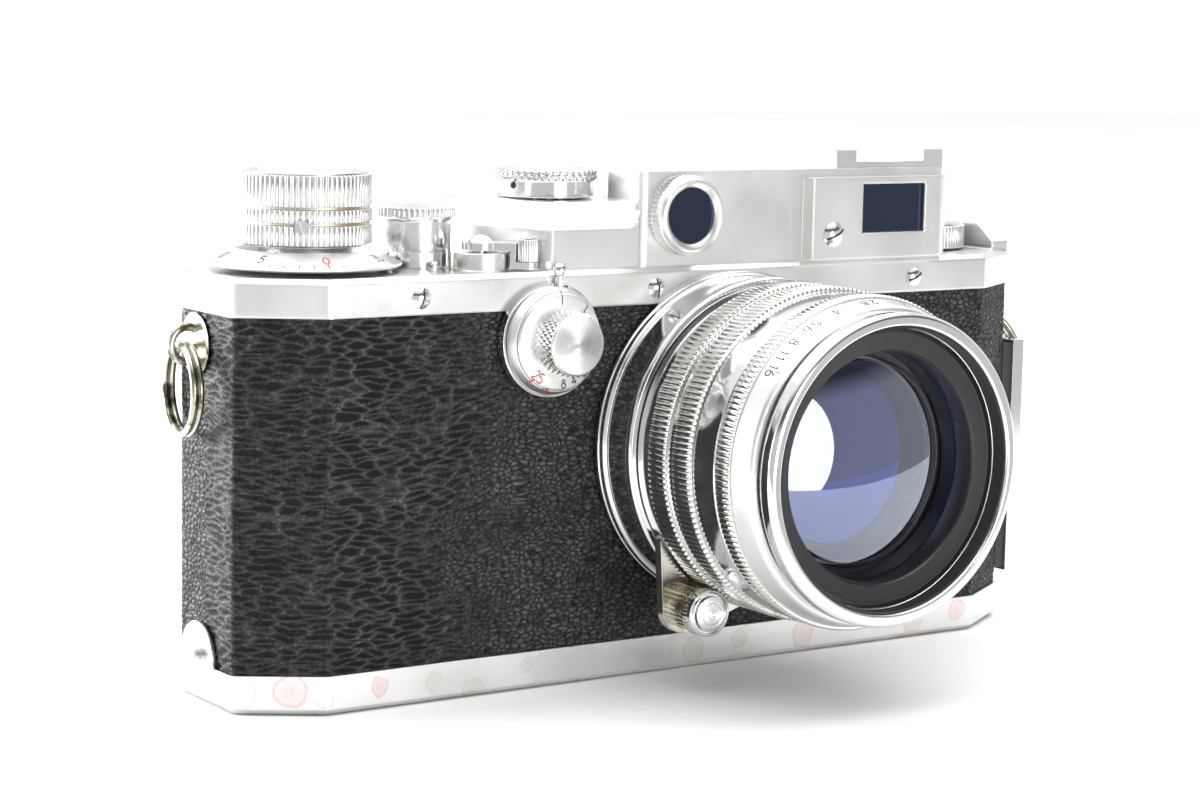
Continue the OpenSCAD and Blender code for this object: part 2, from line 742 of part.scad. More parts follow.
module base_key() {
    color(chrome) translate([lock_x, 0, 0]) {
        intersection() {
            ring(6.4, 4.4, 0.12, 0.5);
            translate([-7, 0, 0]) cube([14, 8, 1]);
        }
        for (x = [-6.4, 4.4]) translate([x, 0, 0.31]) rotate([0, 90, 0]) cylinder(r = 0.2, h = 2);
    }
}

body_shell();
leather_covering();
top_cover();
inner_frame();
film_gate();
pressure_plate();
shutter_curtains();
curtain_rollers();
film_sprocket();
take_up_spool();
lens_mount_ring();
lens_rear_barrel();
focus_ring();
infinity_lever();
infinity_button();
front_barrel();
aperture_ring();
front_rim();
retaining_ring();
front_element();
inner_elements();
iris_blade(0);  // iris_blade_1
iris_blade(1);  // iris_blade_2
iris_blade(2);  // iris_blade_3
iris_blade(3);  // iris_blade_4
iris_blade(4);  // iris_blade_5
iris_blade(5);  // iris_blade_6
slow_dial_plate();
slow_dial();
slow_dial_lock();
range_window_ring();
range_window();
finder_plate();
finder_window();
finder_optics();
eyepiece_ring();
eyepiece_lens();
magnifier_lever();
accessory_shoe();
cover_screws();
release_collar();
release_button();
wind_knob();
wind_knob_screw();
frame_counter();
speed_dial();
selector_lever();
selector_grip();
rewind_shaft();
rewind_knob();
strap_lugs();
split_ring(-1, 7, 0);  // split_ring_left
split_ring(1, 0, 38);  // split_ring_right
accessory_rail();
rail_insulator();
base_plate();
tripod_bush();
base_lock();
base_key();
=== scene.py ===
"""Looks of the rangefinder camera: turned metal, leather, glass and light round the CAD frame."""
import math

import bmesh
import bpy
import numpy as np
from mathutils import Matrix, Vector

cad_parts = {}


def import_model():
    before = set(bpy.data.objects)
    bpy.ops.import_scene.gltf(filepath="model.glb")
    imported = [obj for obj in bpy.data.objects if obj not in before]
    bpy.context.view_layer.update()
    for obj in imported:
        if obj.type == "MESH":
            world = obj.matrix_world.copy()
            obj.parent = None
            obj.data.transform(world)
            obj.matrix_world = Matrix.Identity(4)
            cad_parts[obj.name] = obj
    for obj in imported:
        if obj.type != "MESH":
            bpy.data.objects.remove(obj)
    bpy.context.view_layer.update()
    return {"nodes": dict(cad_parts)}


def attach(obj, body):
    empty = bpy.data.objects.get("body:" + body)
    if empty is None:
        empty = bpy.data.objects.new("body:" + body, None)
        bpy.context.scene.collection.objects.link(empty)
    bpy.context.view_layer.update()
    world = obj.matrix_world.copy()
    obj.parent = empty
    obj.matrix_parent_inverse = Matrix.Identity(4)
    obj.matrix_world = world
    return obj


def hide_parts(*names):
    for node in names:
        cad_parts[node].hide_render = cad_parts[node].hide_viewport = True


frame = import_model()

MM = 0.001
WELD = 2e-7                 # metres: closer points are one point
LENS = (9.5, 34.6)          # lens axis: x and z
DIAL = (-23.6, 50.4)        # slow speed dial: x and z
WIND = (-54.2, 0.0)         # advance knob: x and y
RELEASE = (-36.5, 0.0)      # release button: x and y
SPEED = (-14.4, 0.0)        # speed dial: x and y
REWIND = (56.0, 0.5)        # rewind knob: x and y
SELECTOR = (-30.5, -8.0)    # selector lever's pivot: x and y
LUG = (3, 50)               # strap lugs: y and z
LEVER = (-15.95, -22.35)    # infinity catch, from the lens axis: x and z
HALF_W, HALF_D = 69.7, 15.25        # half the body's width and depth
FACET = (11.35, 6.95)       # what each facet cuts off the width and the depth


# ---- places: each turns (across, up, out) on a piece into a point of the frame ----
def front_at(x, z):
    return lambda p: (x + p[0], -p[2], z + p[1])


def top_at(x, y):
    return lambda p: (x + p[0], y + p[1], p[2])


on_lens = front_at(*LENS)


# ---- meshes ----
def add_object(name, data):
    obj = bpy.data.objects.new(name, data)
    bpy.context.scene.collection.objects.link(obj)
    return obj


def mesh_piece(name, verts, faces, material, body, nodes=(), place=None, smooth=32):
    """Makes a piece from points in millimetres, riding on a CAD body."""
    pts = [place(v) for v in verts] if place else verts
    mesh = bpy.data.meshes.new(name)
    mesh.from_pydata([(p[0] * MM, p[1] * MM, p[2] * MM) for p in pts], [], faces)
    bm = bmesh.new()
    bm.from_mesh(mesh)
    bmesh.ops.remove_doubles(bm, verts=bm.verts, dist=WELD)
    bmesh.ops.recalc_face_normals(bm, faces=bm.faces)
    bm.to_mesh(mesh)
    bm.free()
    mesh.shade_smooth()
    mesh.set_sharp_from_angle(angle=math.radians(smooth))
    obj = add_object(name, mesh)
    mesh.materials.append(material)
    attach(obj, body)
    if nodes:
        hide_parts(*nodes)
    return obj


def grid_faces(rows, cols, wrap_rows=False):
    faces = []
    for j in range(rows if wrap_rows else rows - 1):
        k = (j + 1) % rows
        for i in range(cols):
            n = (i + 1) % cols
            faces.append((j * cols + i, j * cols + n, k * cols + n, k * cols + i))
    return faces


def rings(levels, cols, radius):
    """Rings of points, one for each (r, z) level; radius(r, z, angle, level) bends them."""
    verts = []
    for j, (r, z) in enumerate(levels):
        for i in range(cols):
            a = 2 * math.pi * i / cols
            q = radius(r, z, a, j) if radius else r
            verts.append((q * math.cos(a), q * math.sin(a), z))
    return verts


def eased(profile, amount):
    """Rounds the corners of a closed profile."""
    out, n, steps = [], len(profile), 3
    for i in range(n):
        a, p, b = (Vector(profile[(i + k) % n]) for k in (-1, 0, 1))
        la, lb = (a - p).length, (b - p).length
        t = min(amount, la * 0.4, lb * 0.4)
        s, e = p + (a - p) * (t / la), p + (b - p) * (t / lb)
        if p.x < 1e-6:
            out.append(p)
            continue
        for k in range(steps + 1):
            f = k / steps
            out.append(s * (1 - f) ** 2 + p * 2 * f * (1 - f) + e * f * f)
    return [(v.x, v.y) for v in out]


def turned(name, profile, material, body, place, nodes=(), cols=160, ease=0.12):
    """A lathe-turned piece from a closed (radius, out) profile."""
    levels = eased(profile, ease) if ease else profile
    return mesh_piece(name, rings(levels, cols, None), grid_faces(len(levels), cols, True),
                      material, body, nodes, place)


# One straight tooth: (share of the pitch, share of the height)
TOOTH = [(0, 0), (0.14, 0.62), (0.3, 0.93), (0.46, 1), (0.62, 0.93), (0.78, 0.62), (0.92, 0)]


def straight_knurl(name, r, r_in, z0, z1, teeth, depth, material, body, place, chamfer=0.25):
    """A band of straight teeth with bevelled ends."""
    low = r - depth
    levels = [(r_in, z0), (low, z0), (r, z0 + chamfer), (r, z1 - chamfer), (low, z1), (r_in, z1)]
    verts = []
    for j, (q, z) in enumerate(levels):
        for t in range(teeth):
            for cut, high in TOOTH:
                a = 2 * math.pi * (t + cut) / teeth
                s = low + depth * high if j in (2, 3) else q
                verts.append((s * math.cos(a), s * math.sin(a), z))
    return mesh_piece(name, verts, grid_faces(len(levels), teeth * len(TOOTH), True), material, body, (),
                      place, 42)


def diamond_knurl(name, r, r_in, z0, z1, teeth, material, body, place):
    """A band of crossed knurling: small pyramids between two sets of slanted grooves."""
    depth, pitch, fineness, rim = 0.26, 0.75, 8, 0.12
    cols, rows = teeth * fineness, max(fineness, int((z1 - z0) / pitch * fineness))
    zs = [z0 + rim + (z1 - z0 - 2 * rim) * k / rows for k in range(rows + 1)]
    levels = [(r_in, z0), (r - depth, z0)] + [(r, z) for z in zs] + [(r - depth, z1), (r_in, z1)]

    def bend(q, z, a, j):
        if j < 2 or j > len(levels) - 3:
            return q
        t, v = a * teeth / (2 * math.pi), (z - z0) / pitch
        ridge = [1 - abs(((t + s * v) % 1) * 2 - 1) for s in (0.5, -0.5)]
        return q - depth * (1 - min(1, 1.5 * min(ridge)))
    return mesh_piece(name, rings(levels, cols, bend), grid_faces(len(levels), cols, True), material,
                      body, (), place, 12)


# Strokes of the numerals, in a box one unit high and 0.6 wide
def oval(half_width, middle, half_height, cuts):
    turns = [k * math.pi / cuts for k in range(2 * cuts + 1)]
    return [(0.3 + half_width * math.sin(t), middle + half_height * math.cos(t)) for t in turns]


ROUND = oval(0.3, 0.5, 0.5, 6)
LOW_BOWL = oval(0.3, 0.29, 0.29, 5)
HIGH_BOWL = oval(0.24, 0.79, 0.21, 5)
NEXT_CHAR = 0.72            # from one numeral to the next, in heights
STROKES = {
    "0": [ROUND],
    "1": [[(0.14, 0.82), (0.34, 1), (0.34, 0)]],
    "2": [[(0.03, 0.78), (0.12, 0.94), (0.3, 1), (0.5, 0.93), (0.56, 0.74), (0.45, 0.5), (0, 0), (0.6, 0)]],
    "3": [[(0.04, 0.88), (0.25, 1), (0.48, 0.93), (0.55, 0.75), (0.45, 0.58), (0.25, 0.54)],
          [(0.25, 0.54), (0.5, 0.47), (0.6, 0.28), (0.5, 0.07), (0.28, 0), (0.02, 0.12)]],
    "4": [[(0.44, 0), (0.44, 1), (0, 0.28), (0.6, 0.28)]],
    "5": [[(0.54, 1), (0.1, 1), (0.06, 0.55), (0.28, 0.62), (0.52, 0.52), (0.6, 0.3), (0.5, 0.07),
           (0.26, 0), (0.02, 0.1)]],
    "6": [LOW_BOWL, [(0.02, 0.34), (0.08, 0.66), (0.26, 0.92), (0.46, 1)]],
    "8": [LOW_BOWL, HIGH_BOWL],
    ".": [[(0.26, 0), (0.34, 0.06)]],
    "|": [[(0.3, 0), (0.3, 1)]],
}


def numerals(name, marks, face, material, body, width):
    """Numerals drawn with a pen; marks are (text, across, up, height), laid on face(across, up)."""
    verts, faces = [], []
    for text, across, up, high in marks:
        pen = across - NEXT_CHAR / 2 * high * len(text)
        for char in text:
            for line in STROKES[char]:
                for a, b in zip(line, line[1:]):
                    a, b = Vector(a) * high, Vector(b) * high
                    along = (b - a).normalized()
                    a, b = a - along * width * 0.3, b + along * width * 0.3
                    side = Vector((-along.y, along.x)) * width / 2
                    cuts = max(1, int((b - a).length / 0.35))
                    for k in range(cuts):
                        p, q = a.lerp(b, k / cuts), a.lerp(b, (k + 1) / cuts)
                        base = len(verts)
                        for c in (p - side, q - side, q + side, p + side):
                            verts.append(face(pen + c.x, up + c.y))
                        faces.append((base, base + 1, base + 2, base + 3))
            pen += NEXT_CHAR / 2 * high if char == "." else NEXT_CHAR * high
    return mesh_piece(name, verts, faces, material, body, ())


def blob(name, centre, r, squash, material, body, place):
    """A round mark or bead."""
    rows, cols = 16, 24
    levels = [(r * math.sin(k * math.pi / rows), centre[2] + squash * r * math.cos(k * math.pi / rows))
              for k in range(rows + 1)]
    pts = [(x + centre[0], y + centre[1], z) for x, y, z in rings(levels, cols, None)]
    return mesh_piece(name, pts, grid_faces(rows + 1, cols), material, body, (), place, 60)


# ---- materials ----
def new_material(name):
    mat = bpy.data.materials.new(name)
    mat.use_nodes = True
    nodes = mat.node_tree.nodes
    nodes.clear()
    out = nodes.new("ShaderNodeOutputMaterial")
    shader = nodes.new("ShaderNodeBsdfPrincipled")
    mat.node_tree.links.new(shader.outputs[0], out.inputs[0])
    coords = nodes.new("ShaderNodeTexCoord").outputs["Object"]
    return mat, nodes, mat.node_tree.links, shader, coords


def noise_node(nodes, links, coords, scale, detail):
    """A noise texture on object coordinates; scale counts features per metre."""
    tex = nodes.new("ShaderNodeTexNoise")
    tex.inputs["Scale"].default_value = scale
    tex.inputs["Detail"].default_value = detail
    links.new(coords, tex.inputs["Vector"])
    return tex


def ramp_node(nodes, links, value, stops):
    """A colour for each stop of a value; a plain number is a grey."""
    ramp = nodes.new("ShaderNodeValToRGB")
    while len(ramp.color_ramp.elements) < len(stops):
        ramp.color_ramp.elements.new(0.5)
    for element, (at, colour) in zip(ramp.color_ramp.elements, stops):
        element.position = at
        element.color = (*colour, 1) if isinstance(colour, tuple) else (colour, colour, colour, 1)
    links.new(value, ramp.inputs[0])
    return ramp.outputs[0]


def range_node(nodes, links, value, low, high, from_low=0.3, from_high=0.7):
    out = nodes.new("ShaderNodeMapRange")
    out.inputs["From Min"].default_value = from_low
    out.inputs["From Max"].default_value = from_high
    out.inputs["To Min"].default_value = low
    out.inputs["To Max"].default_value = high
    links.new(value, out.inputs[0])
    return out.outputs[0]


def mix_node(nodes, links, share, colour, other):
    """Blends a colour socket into another, fixed colour."""
    mix = nodes.new("ShaderNodeMix")
    mix.data_type = "RGBA"
    links.new(share, mix.inputs[0])
    links.new(colour, mix.inputs[6])
    mix.inputs[7].default_value = (*other, 1)
    return mix.outputs[2]


def bump_node(nodes, links, height, strength, distance):
    relief = nodes.new("ShaderNodeBump")
    relief.inputs["Strength"].default_value = strength
    relief.inputs["Distance"].default_value = distance
    links.new(height, relief.inputs["Height"])
    return relief


STAIN_WARP = 0.0014         # metres: how far the outline of a stain strays, both ways together


def surface(name, light, dark, rough, metallic=1.0, grain=900, bump=0.00001, edge=0.0, wear=None, spots=()):
    """Metal, paint or plastic with cloudy colour, fine grain, uneven roughness and soft edges.

    wear is (colour, threshold, scale) of the patches; spots are (place, size, tint, strength)."""
    mat, nodes, links, shader, coords = new_material(name)
    cloud = noise_node(nodes, links, coords, 70, 5)
    colour = ramp_node(nodes, links, cloud.outputs[0], [(0.3, dark), (0.62, light)])
    if wear:
        patch = noise_node(nodes, links, coords, wear[2], 6)
        mask = ramp_node(nodes, links, patch.outputs[0], [(wear[1], 0), (wear[1] + 0.09, 1)])
        colour = mix_node(nodes, links, mask, colour, wear[0])
    for centre, size, tint, strength in spots:
        warp = nodes.new("ShaderNodeVectorMath")
        warp.operation = "MULTIPLY_ADD"
        links.new(noise_node(nodes, links, coords, 500, 2).outputs["Color"], warp.inputs[0])
        warp.inputs[1].default_value = (STAIN_WARP,) * 3
        links.new(coords, warp.inputs[2])
        away = nodes.new("ShaderNodeVectorMath")
        away.operation = "DISTANCE"
        links.new(warp.outputs[0], away.inputs[0])
        away.inputs[1].default_value = [c * MM + STAIN_WARP / 2 for c in centre]
        near = range_node(nodes, links, away.outputs["Value"], 1, 0, 0, size * MM)
        mask = ramp_node(nodes, links, near, [(0.0, 0), (0.1, strength), (0.3, strength * 0.45),
                                              (1.0, strength * 0.75)])
        colour = mix_node(nodes, links, mask, colour, tint)
    links.new(colour, shader.inputs["Base Color"])
    shader.inputs["Metallic"].default_value = metallic
    fine = noise_node(nodes, links, coords, grain, 3)
    links.new(range_node(nodes, links, cloud.outputs[0], rough * 0.8, rough * 1.25),
              shader.inputs["Roughness"])
    relief = bump_node(nodes, links, fine.outputs[0], 0.35, bump)
    if edge:
        soft = nodes.new("ShaderNodeBevel")
        soft.samples = 4
        soft.inputs["Radius"].default_value = edge * MM
        links.new(soft.outputs[0], relief.inputs["Normal"])
    links.new(relief.outputs[0], shader.inputs["Normal"])
    return mat


def glass(name, tint, sheen, square_on, edge_on):
    """Thin coated glass: a coloured mirror sheen that grows towards the edge, over tinted clear glass."""
    mat, nodes, links, shader, coords = new_material(name)
    nodes.remove(shader)
    cloud = noise_node(nodes, links, coords, 90, 3)
    clear = nodes.new("ShaderNodeBsdfTransparent")
    paler = tuple(min(1, c * 1.15) for c in tint)
    links.new(ramp_node(nodes, links, cloud.outputs[0], [(0.3, tint), (0.7, paler)]), clear.inputs["Color"])
    mirror = nodes.new("ShaderNodeBsdfGlossy")
    dust = noise_node(nodes, links, coords, 2600, 2)
    links.new(range_node(nodes, links, dust.outputs[0], 0.0, 0.10, 0.68, 0.85), mirror.inputs["Roughness"])
    mirror.inputs["Color"].default_value = (*sheen, 1)
    facing = nodes.new("ShaderNodeLayerWeight")
    facing.inputs["Blend"].default_value = 0.3
    mix = nodes.new("ShaderNodeMixShader")
    links.new(range_node(nodes, links, facing.outputs["Facing"], square_on, edge_on, 0, 1), mix.inputs[0])
    links.new(clear.outputs[0], mix.inputs[1])
    links.new(mirror.outputs[0], mix.inputs[2])
    links.new(mix.outputs[0], nodes["Material Output"].inputs[0])
    return mat


# Stains on the base plate: place, size, tint and strength
STAINS = [
    ((-62.5, -12.4, 3.4), 2.6, (0.75, 0.32, 0.35), 0.6), ((-50.2, -15.2, 3.2), 1.5, (0.78, 0.30, 0.34), 0.55),
    ((-68.5, -9.0, 3.0), 2.6, (0.70, 0.45, 0.45), 0.5), ((-66.4, -10.6, 4.4), 2.2, (0.50, 0.62, 0.55), 0.5),
    ((-58.5, -15.1, 2.2), 1.4, (0.52, 0.60, 0.56), 0.4), ((-41.5, -15.2, 3.0), 1.5, (0.62, 0.55, 0.42), 0.4),
    ((-35.0, -15.2, 1.0), 1.9, (0.62, 0.55, 0.42), 0.35), ((-26.0, -15.2, 3.6), 1.1, (0.5, 0.5, 0.48), 0.35),
    ((3.5, -15.2, 2.6), 2.0, (0.60, 0.53, 0.36), 0.45), ((12.0, -15.2, 3.4), 1.6, (0.60, 0.53, 0.36), 0.45),
    ((24.0, -15.2, 2.8), 2.2, (0.72, 0.42, 0.40), 0.45), ((33.5, -15.2, 3.6), 1.5, (0.72, 0.42, 0.40), 0.4),
    ((46.0, -15.2, 2.6), 2.0, (0.70, 0.42, 0.40), 0.5), ((55.0, -15.0, 3.4), 1.8, (0.72, 0.35, 0.38), 0.55),
]

satin = surface("satin_chrome", (0.86, 0.86, 0.85), (0.78, 0.78, 0.765), 0.30, grain=2600,
                bump=0.000012, edge=0.5)
base_satin = surface("stained_satin_chrome", (0.86, 0.86, 0.85), (0.76, 0.76, 0.745), 0.28, grain=2200,
                     bump=0.000015, edge=0.4, spots=STAINS)
barrel_chrome = surface("barrel_chrome", (0.86, 0.86, 0.865), (0.76, 0.76, 0.76), 0.19, grain=1500,
                        bump=0.000004, edge=0.1)
chrome = surface("turned_chrome", (0.86, 0.86, 0.865), (0.76, 0.76, 0.76), 0.11, grain=1500,
                 bump=0.000004, edge=0.08)
knurled = surface("knurled_chrome", (0.84, 0.84, 0.825), (0.70, 0.69, 0.65), 0.17, grain=1500,
                  bump=0.000005, wear=((0.55, 0.50, 0.36), 0.66, 260))
satin_knurl = surface("satin_knurl", (0.80, 0.80, 0.79), (0.66, 0.66, 0.645), 0.3, grain=2400,
                      bump=0.000008, edge=0.05)
worn = surface("worn_chrome", (0.80, 0.79, 0.76), (0.58, 0.55, 0.46), 0.2, grain=1400, bump=0.00001,
               edge=0.12, wear=((0.42, 0.37, 0.22), 0.52, 240))
brass = surface("aged_brass", (0.68, 0.66, 0.60), (0.20, 0.19, 0.12), 0.26, grain=1200, bump=0.00003,
                edge=0.1, wear=((0.13, 0.12, 0.08), 0.52, 330))
groove = surface("brass_groove", (0.66, 0.64, 0.58), (0.42, 0.32, 0.13), 0.4,
                 wear=((0.6, 0.6, 0.58), 0.52, 120))
# Black paint, also used as painted shade for the speed dial's set hole
black = surface("black_paint", (0.012, 0.012, 0.013), (0.02, 0.02, 0.021), 0.3, 0.0, grain=2400,
                bump=0.00001, edge=0.08)
dark_metal = surface("dark_thread", (0.03, 0.03, 0.03), (0.015, 0.015, 0.015), 0.4, 0.3)
steel = surface("inner_steel", (0.48, 0.49, 0.50), (0.36, 0.37, 0.38), 0.35, grain=800, bump=0.00002)
cloth = surface("curtain_cloth", (0.035, 0.035, 0.037), (0.02, 0.02, 0.02), 0.8, 0.0, 4000, 0.00006)
# Black for print, also laid as painted shade in the screws' slots
ink_and_shade = surface("black_ink_and_shade", (0.02, 0.02, 0.02), (0.035, 0.035, 0.035), 0.55, 0.0)
red_ink = surface("red_ink", (0.62, 0.05, 0.05), (0.5, 0.03, 0.03), 0.5, 0.0)
dial_white = surface("dial_satin", (0.88, 0.88, 0.87), (0.83, 0.83, 0.82), 0.35, grain=3000, bump=0.000006)
plastic = surface("rail_insulator", (0.02, 0.02, 0.02), (0.035, 0.035, 0.035), 0.4, 0.0, 1800, 0.00003)
lens_glass = glass("coated_glass", (0.86, 0.88, 0.93), (0.80, 0.86, 1.0), 0.2, 0.5)
inner_glass = glass("inner_glass", (0.55, 0.52, 0.55), (0.06, 0.12, 0.85), 0.2, 0.6)
deep_glass = glass("deep_glass", (0.30, 0.26, 0.34), (0.50, 0.32, 0.50), 0.12, 0.5)
finder_glass = glass("finder_glass", (0.004, 0.005, 0.010), (0.30, 0.38, 0.62), 0.10, 0.5)


def radial_metal(name):
    """A flat face turned on a lathe: fine circles that throw light in a fan."""
    mat, nodes, links, shader, coords = new_material(name)
    cloud = noise_node(nodes, links, coords, 200, 3)
    links.new(ramp_node(nodes, links, cloud.outputs[0],
                        [(0.3, (0.74, 0.74, 0.73)), (0.7, (0.85, 0.85, 0.84))]),
              shader.inputs["Base Color"])
    shader.inputs["Metallic"].default_value = 1
    links.new(range_node(nodes, links, cloud.outputs[0], 0.24, 0.34), shader.inputs["Roughness"])
    shader.inputs["Anisotropic"].default_value = 0.85
    tangent = nodes.new("ShaderNodeTangent")
    tangent.direction_type = "RADIAL"
    tangent.axis = "Y"
    links.new(tangent.outputs[0], shader.inputs["Tangent"])
    return mat


fan = radial_metal("turned_face")


# ---- leather: its grain is real relief, long and wavy on the left, pebbled elsewhere ----
def leather_material():
    """Black hide, shinier on the tops of the grain, with a painted highlight greying the tops and painted
    shade darkening the grooves.
    """
    mat, nodes, links, shader, coords = new_material("leather")
    grain = nodes.new("ShaderNodeAttribute")
    grain.attribute_name = "grain"
    # Random patches that weaken the painted highlight and the shine on some tops of the grain
    tops_highlight_patches = noise_node(nodes, links, coords, 160, 4)
    high = nodes.new("ShaderNodeMath")
    high.operation = "MULTIPLY"
    links.new(grain.outputs["Fac"], high.inputs[0])
    links.new(range_node(nodes, links, tops_highlight_patches.outputs[0], 0.75, 1.0), high.inputs[1])
    top = high.outputs[0]
    # Painted shade and painted highlight: the base colour runs from near black in the grooves to dark grey on
    # the tops of the grain
    links.new(ramp_node(nodes, links, top, [(0.2, 0.006), (0.6, (0.022, 0.022, 0.0225)),
                                            (1.0, (0.10, 0.10, 0.102))]), shader.inputs["Base Color"])
    links.new(range_node(nodes, links, top, 0.62, 0.38, 0.2, 1.0), shader.inputs["Roughness"])
    links.new(range_node(nodes, links, top, 0.12, 0.6, 0.1, 0.9), shader.inputs["Specular IOR Level"])
    fine = noise_node(nodes, links, coords, 3000, 4)
    relief = bump_node(nodes, links, fine.outputs[0], 0.45, 0.00006)
    links.new(relief.outputs[0], shader.inputs["Normal"])
    return mat


def cell_gap(u, v, seed):
    """Distance to the edge between scattered cells, on unit-sized cells."""
    rng = np.random.default_rng(seed)
    size = 256
    jx, jy = rng.random((size, size)), rng.random((size, size))
    iu, iv = np.floor(u).astype(int), np.floor(v).astype(int)
    first, second = np.full(u.shape, 9.0), np.full(u.shape, 9.0)
    for du in (-1, 0, 1):
        for dv in (-1, 0, 1):
            cu, cv = iu + du, iv + dv
            px, py = cu + jx[cu % size, cv % size], cv + jy[cu % size, cv % size]
            d = np.hypot(u - px, v - py)
            second = np.minimum(second, np.maximum(d, first))
            first = np.minimum(first, d)
    return second - first


def wobble(u, v, seed):
    """Smooth value noise from -1 to 1."""
    rng = np.random.default_rng(seed)
    size = 128
    table = rng.random((size, size)) * 2 - 1
    iu, iv = np.floor(u).astype(int), np.floor(v).astype(int)
    fu, fv = u - iu, v - iv
    fu, fv = fu * fu * (3 - 2 * fu), fv * fv * (3 - 2 * fv)

    def at(a, b):
        return table[(iu + a) % size, (iv + b) % size]
    return (at(0, 0) * (1 - fu) + at(1, 0) * fu) * (1 - fv) + (at(0, 1) * (1 - fu) + at(1, 1) * fu) * fv


def octagon(inset):
    """Corners of the body's outline, drawn in by inset, from the back left corner round by the front."""
    fx, fy = FACET
    length = math.hypot(fx, fy)
    nx, ny = fy / length, fx / length
    c = nx * HALF_W + ny * (HALF_D - fy) - inset
    w, d = HALF_W - inset, HALF_D - inset
    y, x = (c - nx * w) / ny, (c - ny * d) / nx
    return [(-x, d), (-w, y), (-w, -y), (-x, -d), (x, -d), (w, -y), (w, y), (x, d)]


SKIN_STEP = 0.17            # between the points of the leather
SKIN_INSET = 0.3            # its surface, inside the outline of the body's metal
SKIN_CORNER = 1.3
SKIN_BOTTOM, SKIN_TOP = 5.46, 54.64
GRAIN_DEPTH = 0.24
LENS_CLEAR, LUG_CLEAR = 23, 2.6     # radii left open under the lens mount and the strap lugs


def leather_outline():
    """Points round the body with rounded corners, and the way out at each."""
    corners = [Vector(c) for c in octagon(SKIN_INSET)]
    arcs = []
    for i, p in enumerate(corners):
        a, b = corners[i - 1], corners[(i + 1) % 8]
        ua, ub = (a - p).normalized(), (b - p).normalized()
        half = math.acos(max(-1, min(1, ua.dot(ub)))) / 2
        cut = SKIN_CORNER / math.tan(half)
        centre = p + (ua + ub).normalized() * SKIN_CORNER / math.sin(half)
        arcs.append((centre, p + ua * cut, p + ub * cut))
    path, normals = [], []
    for i, (centre, start, end) in enumerate(arcs):
        t0, t1 = math.atan2(*(start - centre).yx), math.atan2(*(end - centre).yx)
        turn = (t1 - t0 + math.pi) % (2 * math.pi) - math.pi
        n = max(3, int(abs(turn) * SKIN_CORNER / SKIN_STEP))
        for k in range(n + 1):
            t = t0 + turn * k / n
            out = Vector((math.cos(t), math.sin(t)))
            path.append(centre + out * SKIN_CORNER)
            normals.append(out)
        following = arcs[(i + 1) % 8][1]
        side = Vector(((following - end).y, -(following - end).x)).normalized()
        out = side if side.dot(end) > 0 else -side
        m = int((following - end).length / SKIN_STEP)
        for k in range(1, m):
            path.append(end.lerp(following, k / m))
            normals.append(out)
    return np.array([tuple(p) for p in path]), np.array([tuple(n) for n in normals])


def leather_grain(u, z, x, y):
    """Height of the grain from 0 to 1; u is the way round the body."""
    uw = u + 0.9 * wobble(u / 3, z / 3, 5)
    zw = z + 0.35 * wobble(u / 2.2, z / 2.2, 6) + 0.8 * wobble(u / 14, z / 14, 9)
    long_grain = 1 - np.clip(cell_gap(uw / 3.6, zw / 0.85, 1) / 0.5, 0, 1) ** 0.6
    pebble = np.clip(cell_gap(uw / 1.15, zw / 0.66, 2) / 0.5, 0, 1) ** 0.8
    fine = np.clip(cell_gap(uw / 0.8, zw / 0.42, 3) / 0.6, 0, 1)
    left_front = (y < y.min() + 1) & (x < 0)
    long_share = np.where(left_front, np.clip((-30 - x + 9 * wobble(u / 9, z / 6, 7)) / 16, 0, 1), 0.0)
    long_share = np.where((x < -57) & (y < 0), 0.75, long_share)
    return long_share * (0.8 * long_grain + 0.2 * fine) + (1 - long_share) * (0.65 * pebble + 0.35 * fine)


def leather():
    path, normals = leather_outline()
    run = np.concatenate([[0], np.cumsum(np.hypot(*np.diff(path, axis=0).T))])
    cols = len(path)
    heights = np.arange(SKIN_BOTTOM, SKIN_TOP, SKIN_STEP)
    u, z = np.meshgrid(run, heights)
    relief = leather_grain(u, z, np.broadcast_to(path[:, 0], u.shape), np.broadcast_to(path[:, 1], u.shape))
    lift = -GRAIN_DEPTH * (1 - relief) + 0.03 * wobble(u / 5, z / 5, 8)
    px = path[:, 0] + normals[:, 0] * lift
    py = path[:, 1] + normals[:, 1] * lift
    verts = np.stack([px, py, z], axis=-1).reshape(-1, 3) * MM
    under_lens = (np.hypot(px - LENS[0], z - LENS[1]) < LENS_CLEAR) & (py < -14)
    under_lug = (np.hypot(py - LUG[0], z - LUG[1]) < LUG_CLEAR) & (np.abs(px) > 60)
    gone = (under_lens | under_lug).reshape(-1)
    j, i = np.meshgrid(np.arange(len(heights) - 1), np.arange(cols), indexing="ij")
    n = (i + 1) % cols
    quads = np.stack([j * cols + i, j * cols + n, (j + 1) * cols + n, (j + 1) * cols + i], -1).reshape(-1, 4)
    quads = quads[~gone[quads].any(axis=1)]
    mesh = bpy.data.meshes.new("leather_covering_grain")
    mesh.vertices.add(len(verts))
    mesh.vertices.foreach_set("co", verts.ravel())
    mesh.loops.add(quads.size)
    mesh.loops.foreach_set("vertex_index", quads.ravel())
    mesh.polygons.add(len(quads))
    mesh.polygons.foreach_set("loop_start", np.arange(0, quads.size, 4))
    mesh.update(calc_edges=True)
    mesh.validate()
    # The grain's height; the leather's material turns it into painted shade in the grooves and a painted
    # highlight on the tops
    depth = mesh.attributes.new("grain", "FLOAT", "POINT")
    depth.data.foreach_set("value", relief.astype(np.float32).ravel())
    mesh.shade_smooth()
    obj = add_object("leather_covering_grain", mesh)
    mesh.materials.append(leather_material())
    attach(obj, "camera")
    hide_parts("leather_covering")


leather()

